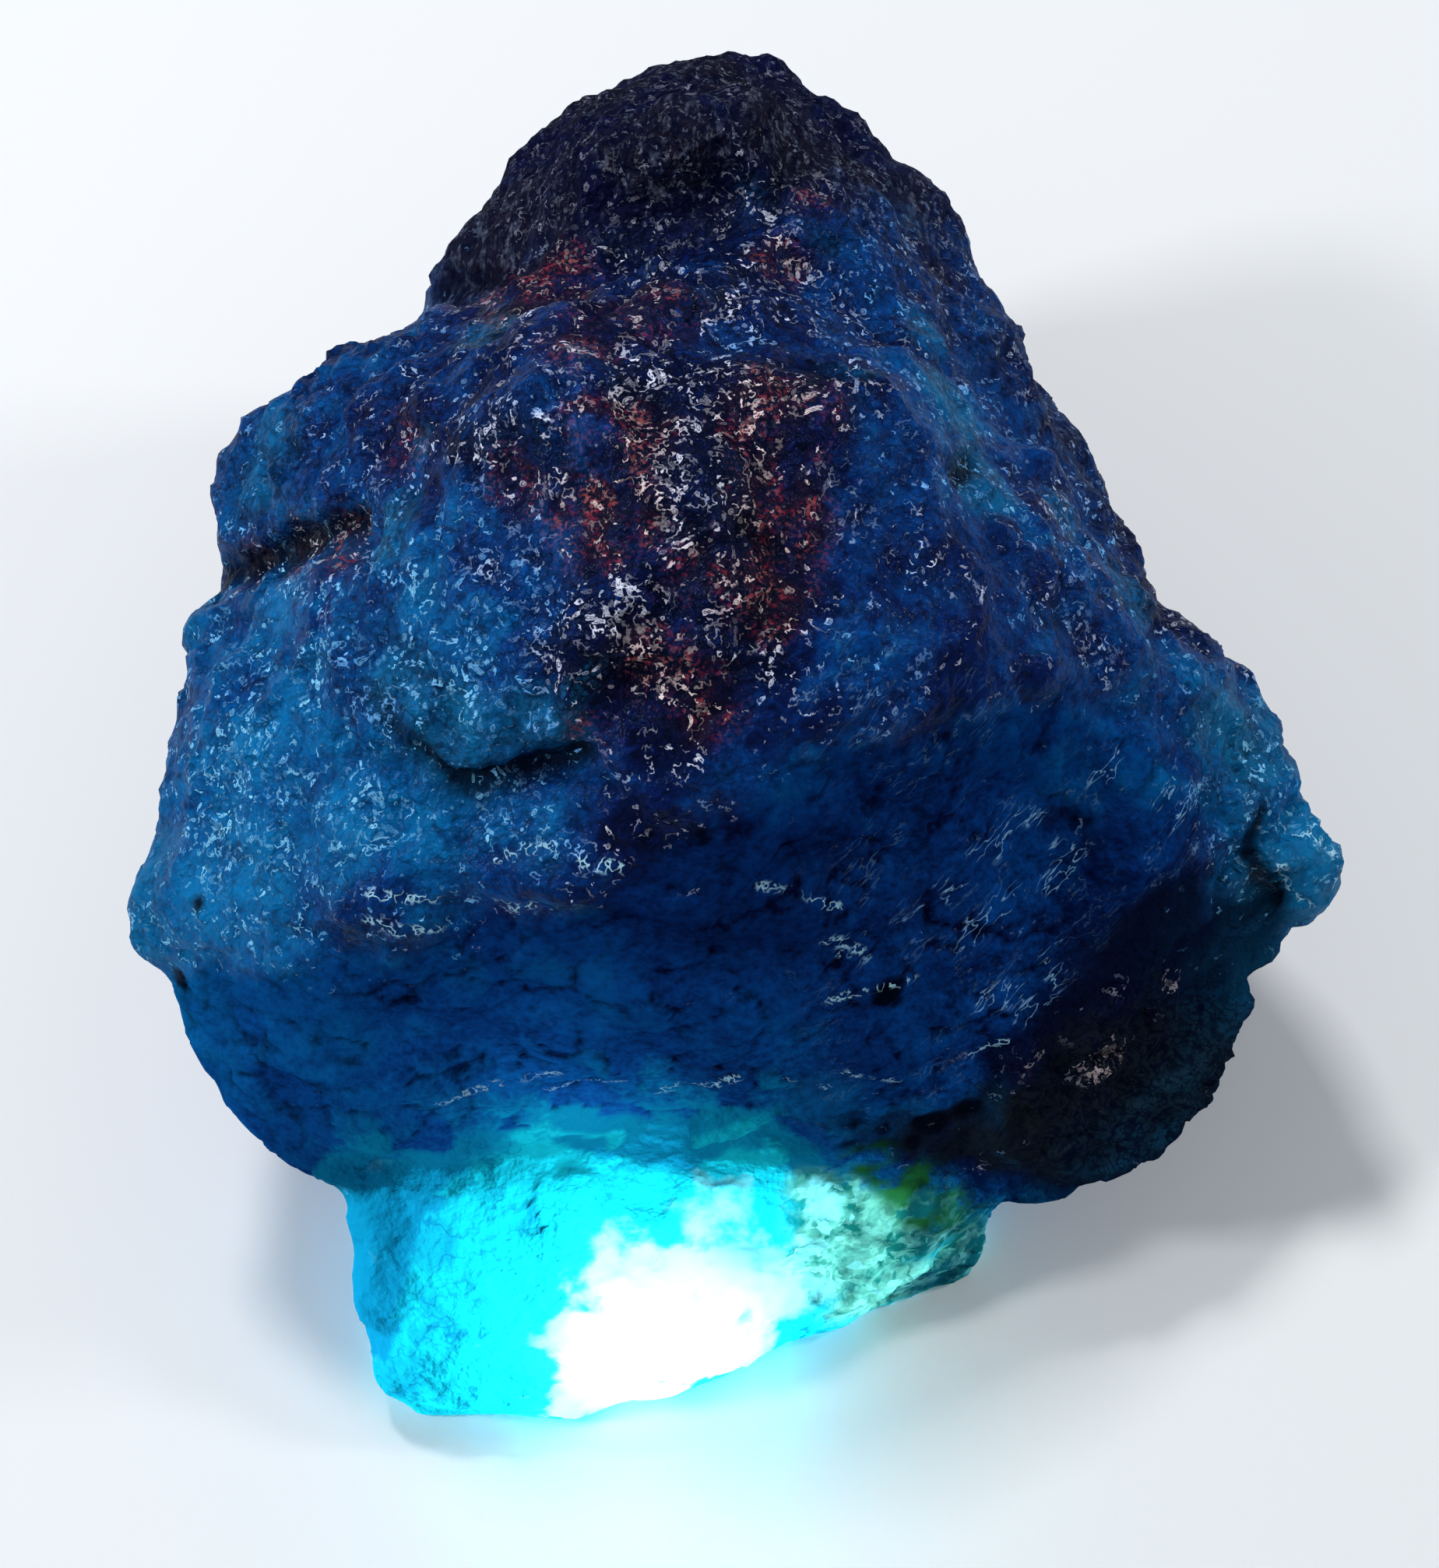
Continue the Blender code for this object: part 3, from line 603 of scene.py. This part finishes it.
class Finish:
    """A node material, built by adding one node at a time."""

    def __init__(self, name):
        self.material = bpy.data.materials.new(name)
        self.material.use_nodes = True
        self.tree = self.material.node_tree
        self.tree.nodes.clear()

    def node(self, kind, settings=None, values=None, output=0):
        made = self.tree.nodes.new(kind)
        for name, setting in (settings or {}).items():
            if name == "stops":
                self.set_stops(made.color_ramp, setting)
            else:
                setattr(made, name, setting)
        for name, value in (values or {}).items():
            if isinstance(value, Wire):
                self.tree.links.new(value.socket, made.inputs[name])
            else:
                made.inputs[name].default_value = value
        return Wire(self, made.outputs[output]) if made.outputs else made

    def set_stops(self, ramp, stops):
        while len(ramp.elements) < len(stops):
            ramp.elements.new(1.0)
        for element, (position, tint) in zip(ramp.elements, stops):
            element.position = position
            element.color = tint

    def zone(self, name):
        return self.node("ShaderNodeAttribute", {"attribute_name": name}, output="Fac")

    def place(self):
        """Object coordinates in millimetres."""
        here = self.node("ShaderNodeTexCoord", output="Object")
        return self.node("ShaderNodeVectorMath", {"operation": "SCALE"}, {0: here, "Scale": 1 / MM})

    def stretched(self, place, factors):
        return self.node("ShaderNodeVectorMath", {"operation": "MULTIPLY"}, {0: place, 1: factors})

    def drawn_out(self, place, run, amount):
        """Coordinates that change slowly along one direction, so a pattern is drawn out along it."""
        length = math.sqrt(sum(part * part for part in run))
        run = tuple(part / length for part in run)
        along = self.node("ShaderNodeVectorMath", {"operation": "DOT_PRODUCT"}, {0: place, 1: run}, "Value")
        back = self.node("ShaderNodeVectorMath", {"operation": "SCALE"}, {0: run, "Scale": along * amount})
        return self.node("ShaderNodeVectorMath", {"operation": "SUBTRACT"}, {0: place, 1: back})

    def noise(self, place, size, detail=2.0, roughness=0.5):
        return self.node("ShaderNodeTexNoise", {}, {
            "Vector": place, "Scale": 1 / size, "Detail": detail, "Roughness": roughness})

    def cells(self, place, size, output="Distance"):
        return self.node("ShaderNodeTexVoronoi", {}, {"Vector": place, "Scale": 1 / size}, output)

    def curled(self, place, size, amount):
        """Coordinates pushed about, so that round cells turn into short curved ones."""
        push = self.noise(place, size, 0.0).output("Color")
        push = self.node("ShaderNodeVectorMath", {"operation": "SCALE"}, {0: push, "Scale": amount})
        return self.node("ShaderNodeVectorMath", {"operation": "ADD"}, {0: place, 1: push})

    def brightness(self, tint):
        return self.node("ShaderNodeRGBToBW", {}, {0: tint})

    def ramp(self, value, stops):
        return self.node("ShaderNodeValToRGB", {"stops": stops}, {0: value})

    def blend(self, share, low, high):
        return self.node("ShaderNodeMix", {"data_type": "RGBA"}, {0: share, 6: low, 7: high}, output=2)

    def glow(self, tint, **normal):
        """Light from behind, in one tint."""
        return self.node("ShaderNodeBsdfTranslucent", {}, {"Color": tint, **normal})

    def mixed(self, share, low, high):
        return self.node("ShaderNodeMixShader", {}, {0: share, 1: low, 2: high})

    def end(self, surface):
        self.node("ShaderNodeOutputMaterial", {}, {"Surface": surface})
        return self.material


def colour(red, green, blue):
    return (red, green, blue, 1.0)


BLUE_DEPTHS = [
    (0.00, colour(0.0020, 0.0060, 0.0550)), (0.25, colour(0.0024, 0.0150, 0.1150)),
    (0.50, colour(0.0018, 0.0520, 0.2500)), (0.75, colour(0.0018, 0.1050, 0.3400)),
    (1.00, colour(0.0030, 0.1700, 0.4500)),
]
TEAL = colour(0.006, 0.165, 0.370)
EDGE_TEAL = colour(0.006, 0.130, 0.265)
CRUST_BROWN = colour(0.013, 0.011, 0.018)
CRUST_GREY = colour(0.084, 0.100, 0.155)
# Painted shade in creases, pits and beside glints, and the dark colour of veins and plate edges.
SHADE_AND_CRACK_NAVY = colour(0.0016, 0.0028, 0.0150)
IRON_BROWN = colour(0.016, 0.006, 0.014)
IRON_RED = colour(0.270, 0.020, 0.045)
IRON_ORANGE = colour(0.340, 0.095, 0.090)
TAR_BLACK = colour(0.0028, 0.0052, 0.0270)
TAR_BROWN = colour(0.0090, 0.0115, 0.0150)
# Tints of the painted glints, by how blue the ground is, and pinkish over iron.
GLINT_TINTS = [
    (0.20, colour(0.6800, 0.7200, 0.9000)), (0.50, colour(0.1300, 0.4000, 0.8200)),
    (0.80, colour(0.2400, 0.6400, 0.9500)),
]
GLINT_PINK = colour(0.850, 0.640, 0.600)
# Tints of the painted glint lines and of the painted highlights along the grooves.
GLINT_LINE_BLUE = colour(0.420, 0.740, 0.900)
GROOVE_GLINT_BLUE = colour(0.200, 0.400, 0.660)
SEAM_BLACK = colour(0.0008, 0.0015, 0.0050)
GLOW_CYAN = colour(0.004, 0.460, 0.600)
GLOW_DEEP = colour(0.002, 0.205, 0.380)
GLOW_WHITE = colour(0.130, 0.600, 0.700)
GLOW_NAVY = colour(0.003, 0.070, 0.310)
GLOW_GREEN = colour(0.010, 0.110, 0.030)
MOSS_GREEN = colour(0.004, 0.026, 0.016)
GLOW_MINT = colour(0.130, 0.560, 0.480)
GLOW_JADE = colour(0.004, 0.130, 0.120)
SPECULAR_BLUE = colour(0.450, 0.650, 1.000)


def sapphire_finish():
    """The stone's one finish: blue body, crust, stain and skin, painted glints and painted shade, and light
    through the toe.
    """
    finish = Finish("rough_blue_sapphire")
    place = finish.place()
    zone = finish.zone
    cloud = zone("cloud")
    mottle = zone("mottle")
    patch = zone("patch")
    plate = zone("plate")
    grit = finish.noise(place, 0.32, 2.0)
    fine = finish.noise(place, 0.15, 1.0)
    grain = (grit - 0.5) * 1.6 + (fine - 0.5) * 0.9
    streaks = finish.noise(finish.stretched(place, (1.0, 0.35, 0.50)), 0.22, 2.0, 0.6)
    veins = 1 - abs(finish.noise(place, 1.8, 3.0, 0.6) - 0.5).step(0.0, 0.024)
    glitter = zone("glitter")
    pebbles = zone("pebbles")
    iron = zone("iron")
    crust = zone("crust")
    tar = zone("tar")
    front = zone("front")
    edge = zone("edge")
    plate_edge = zone("plate_edge")
    seam = zone("seam")
    inclusion = zone("inclusion")

    # body colour
    depth = zone("blue") + (cloud - 0.5) * 0.6 + (mottle - 0.5) * 0.35
    depth = depth + (plate - 0.5) * 0.12 + (grit - 0.5) * 0.3
    blue = finish.ramp(depth, BLUE_DEPTHS)
    blue = finish.blend((zone("teal") * (mottle * 0.8 + 0.35)).clamped(), blue, TEAL)
    blue = finish.blend((edge * mottle * 1.3 * (1 - crust)).clamped(), blue, EDGE_TEAL)
    crusted = finish.blend(streaks.step(0.50, 0.66), CRUST_BROWN, CRUST_GREY)
    blue = finish.blend((crust * (cloud.step(0.36, 0.60) * 0.60 + 0.36)).clamped(), blue, crusted)
    # painted shade where the grain relief is low and in the creases between knuckles
    blue = finish.blend(((0.30 - grain) * (1.05 - depth * 0.85)).clamped(), blue, SHADE_AND_CRACK_NAVY)
    blue = finish.blend(zone("crease") * (0.9 - depth * 0.6), blue, SHADE_AND_CRACK_NAVY)
    blue = finish.blend(veins * (0.2 + pebbles * 0.4), blue, SHADE_AND_CRACK_NAVY)
    stained = iron * (patch.step(0.34, 0.52) * 0.75 + 0.25)
    blue = finish.blend((stained * 0.85).clamped(), blue, IRON_BROWN)
    rust = finish.blend(mottle.step(0.52, 0.68), IRON_RED, IRON_ORANGE)
    rusty = stained * fine.step(0.50, 0.62) * mottle.step(0.40, 0.60) * 0.8
    blue = finish.blend(rusty.clamped(), blue, rust)
    tarry = finish.blend((zone("earthy") + grain * 0.8).clamped(), TAR_BLACK, TAR_BROWN)
    blue = finish.blend((tar * (mottle * 0.5 + 0.8)).clamped(), blue, tarry)
    blue = finish.blend((tar * edge * 0.5).clamped(), blue, EDGE_TEAL)
    moss = zone("toe_green") * ((mottle - 0.32) * 4 + grain * 0.8).clamped()
    blue = finish.blend(moss, blue, MOSS_GREEN)
    edged = plate_edge * patch.step(0.40, 0.60) * front
    blue = finish.blend(edged * 0.7, blue, SHADE_AND_CRACK_NAVY)
    blue = finish.blend(seam * 0.9, blue, SEAM_BLACK)
    blue = finish.blend(inclusion * 0.95, blue, SEAM_BLACK)

    # painted glints: short curved bright marks in the colour, crowded in patches, with painted shadow in the
    # dark gaps beside them
    gap = finish.cells(finish.curled(place, 0.8, 1.0), 0.25)
    chance = finish.brightness(gap.output("Color"))
    crowd = glitter * (patch.step(0.36, 0.62) * 0.34 + 0.18) * (1 - tar * 0.6) * (1 - iron * 0.30)
    crowd = crowd + zone("sparkle") * 0.7 + crust * 0.08
    bright = (chance * 37).fraction()
    level = bright * bright * 0.95 + 0.16
    ragged = gap + (fine - 0.5) * 0.6
    rings = (1 - abs(ragged - 0.36).step(0.05, 0.12)) * grit.step(0.42, 0.50)
    blobs = (chance + crowd - 1).step(0.0, 0.05) * (1 - ragged.step(0.12, 0.24)).or_more(rings)
    arcs = 1 - abs(grit - 0.5).step(0.014, 0.044)
    arcs = arcs * ((chance * 19).fraction() + crowd * (1.30 - depth * 0.5) - 1).step(0.0, 0.05)
    # painted glint lines along the listed paths
    glint_lines = zone("frosted").step(0.35, 0.80) * (1 - abs(grit - 0.52).step(0.016, 0.052)) * 0.85
    painted_glints = (blobs.or_more(arcs) * level * (1 - tar * 0.50) * (1 - crust * 0.80)).clamped()
    # painted shadow in the gaps beside the glints
    glint_shadow = gap.step(0.42, 0.80).or_more(1 - abs(grit - 0.58).step(0.012, 0.045))
    blue = finish.blend((glint_shadow * pebbles * (1.05 - depth * 0.8)).clamped(), blue, SHADE_AND_CRACK_NAVY)
    glint_tint = finish.blend((iron * 0.9).clamped(), finish.ramp(depth, GLINT_TINTS), GLINT_PINK)
    blue = finish.blend(painted_glints, blue, glint_tint)
    blue = finish.blend(glint_lines, blue, GLINT_LINE_BLUE)

    # surface
    relief = grit * (pebbles * 0.45 + tar * 0.4 + 0.30)
    grooves = finish.noise(finish.drawn_out(place, STRIAE_RUN, 0.76), 0.34, 2.0, 0.6)
    striated = zone("striated")
    relief = relief + grooves * striated * 0.30
    # painted highlights along the edges of the grooves
    groove_glints = 1 - abs(grooves - 0.5).step(0.006, 0.026)
    groove_glints = groove_glints * (zone("scratched").step(0.05, 0.50) + striated * 0.25)
    groove_glints = groove_glints * mottle.step(0.44, 0.58) * 0.9
    blue = finish.blend(groove_glints.clamped(), blue, GROOVE_GLINT_BLUE)
    bump = finish.node("ShaderNodeBump", {}, {"Strength": 1.0, "Distance": BUMP_DEPTH * MM, "Height": relief})
    polish = mottle * 0.20 + crust * 0.14 + 0.16
    body = finish.node("ShaderNodeBsdfPrincipled", {}, {
        "Base Color": blue, "Roughness": polish, "IOR": SAPPHIRE_IOR, "Specular IOR Level": 0.10,
        "Specular Tint": SPECULAR_BLUE, "Normal": bump})
    matte = finish.node("ShaderNodeBsdfPrincipled", {}, {
        "Base Color": blue, "Roughness": 0.8, "IOR": SAPPHIRE_IOR, "Specular IOR Level": 0.0, "Normal": bump})
    body = finish.mixed((front * 0.5 + tar * 0.4 + crust * 0.3 + 0.64).clamped(), body, matte)

    # light that comes through the thin toe
    deep, cyan, navy = (finish.glow(tint, Normal=bump) for tint in (GLOW_DEEP, GLOW_CYAN, GLOW_NAVY))
    white, green, mint, jade = (finish.glow(tint) for tint in (GLOW_WHITE, GLOW_GREEN, GLOW_MINT, GLOW_JADE))
    heart = zone("cyan")
    crystals = zone("toe_crystals")
    toe_dim = zone("toe_dim")
    gloom = patch.step(0.44, 0.64) * 0.45 + plate.step(0.40, 0.60) * 0.3 + plate_edge * 0.35
    gloom = (gloom + veins * 0.4 - grain * 0.8).clamped() * (1 - heart) * (1 - crystals)
    shade = zone("toe_shade") * patch.step(0.30, 0.50) * 0.7 + veins * 0.5
    shade = shade + plate.step(0.60, 0.90) * 0.22 - grain * 0.2
    cyan = finish.mixed(shade.clamped(), cyan, deep)
    lit = finish.mixed(heart, deep, cyan)
    lit = finish.mixed((crystals * 1.2).clamped(), lit, jade)
    facet = (chance * 11).fraction()
    mineral = (facet * 0.7 + (mottle - 0.5) * 1.6 + grain * 0.5 + 0.15 - toe_dim * 0.4).clamped()
    lit = finish.mixed((crystals * mineral).clamped(), lit, mint)
    core = zone("toe_core") + (mottle - 0.5) * 0.9 + (patch - 0.5) * 0.4 + grain * 0.3
    core = core + crystals * facet.step(0.75, 0.95) * 0.4
    lit = finish.mixed(core.step(0.25, 0.90), lit, white)
    toe = zone("toe")
    bleed = zone("bleed")
    dim = finish.mixed((bleed * (plate * 0.6 + 0.6 + grain * 0.8)).clamped(), navy, deep)
    lit = finish.mixed(toe, dim, lit)
    lit = finish.mixed(moss, lit, green)
    through = (toe * (1 - gloom * 0.6) * 0.92 + front * (0.37 + grain * 0.45 - edged * 0.4)
               + bleed * 0.5).clamped().at_most(0.92)
    # less light comes through where glints are painted
    all_glints = (painted_glints + glint_lines + groove_glints).clamped()
    through = through * (1 - tar * 0.9) * (1 - toe_dim * 0.60)
    through = through * (1 - (inclusion + seam * 0.6).clamped()) * (1 - all_glints * 0.7)
    return finish.end(finish.mixed(through, body, lit))


# ---------------------------------------------------------------- studio
def make_floor():
    mesh = bmesh.new()
    bmesh.ops.create_grid(mesh, x_segments=1, y_segments=1, size=1.5)
    data = bpy.data.meshes.new("floor")
    mesh.to_mesh(data)
    mesh.free()
    floor = bpy.data.objects.new("studio_floor", data)
    bpy.context.scene.collection.objects.link(floor)
    finish = Finish("pale_floor")
    data.materials.append(finish.end(finish.node("ShaderNodeBsdfPrincipled", {}, {
        "Base Color": colour(0.88, 0.90, 0.92), "Roughness": 0.7})))


def softbox(name, way, power):
    """A square light that faces the middle of the stone."""
    light = bpy.data.lights.new(name, "AREA")
    light.size = SOFTBOX_SIZE * MM
    light.energy = power
    lamp = bpy.data.objects.new(name, light)
    lamp.location = (STONE_MIDDLE + SOFTBOX_DISTANCE * Vector(way).normalized()) * MM
    lamp.rotation_euler = (STONE_MIDDLE * MM - lamp.location).to_track_quat("-Z", "Y").to_euler()
    bpy.context.scene.collection.objects.link(lamp)


def inner_lamp(name, place, power):
    """A small lamp inside the stone, which makes the surface around it glow."""
    light = bpy.data.lights.new(name, "POINT")
    light.energy = power
    light.shadow_soft_size = 1.0 * MM
    lamp = bpy.data.objects.new(name, light)
    lamp.location = Vector(place) * MM
    bpy.context.scene.collection.objects.link(lamp)


def light_the_studio():
    world = bpy.data.worlds.new("studio")
    world.use_nodes = True
    backdrop = world.node_tree.nodes["Background"]
    backdrop.inputs["Color"].default_value = colour(0.88, 0.93, 1.0)
    backdrop.inputs["Strength"].default_value = 0.32
    bpy.context.scene.world = world
    for name, (way, power) in SOFTBOXES.items():
        softbox(name, way, power)
    for name, (place, power) in INNER_LAMPS.items():
        inner_lamp(name, place, power)


def place_camera():
    """The stone is seen from the toe's side, steeply from above and close by."""
    back = Vector((0.0, -math.cos(CAMERA_ELEVATION), math.sin(CAMERA_ELEVATION)))
    camera = bpy.data.cameras.new("camera")
    camera.sensor_fit = "VERTICAL"
    camera.sensor_height = 36.0
    camera.lens = CAMERA_LENS
    camera.clip_start = 0.005
    camera.clip_end = 10.0
    view = bpy.data.objects.new("camera", camera)
    view.location = (CAMERA_TARGET + CAMERA_DISTANCE * back) * MM
    view.rotation_euler = (math.pi / 2 - CAMERA_ELEVATION, 0.0, 0.0)
    bpy.context.scene.collection.objects.link(view)
    bpy.context.scene.camera = view


stone = make_stone()
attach(stone, "root")
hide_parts(NODE)
make_floor()
light_the_studio()
place_camera()
bpy.context.scene.view_settings.view_transform = "Standard"
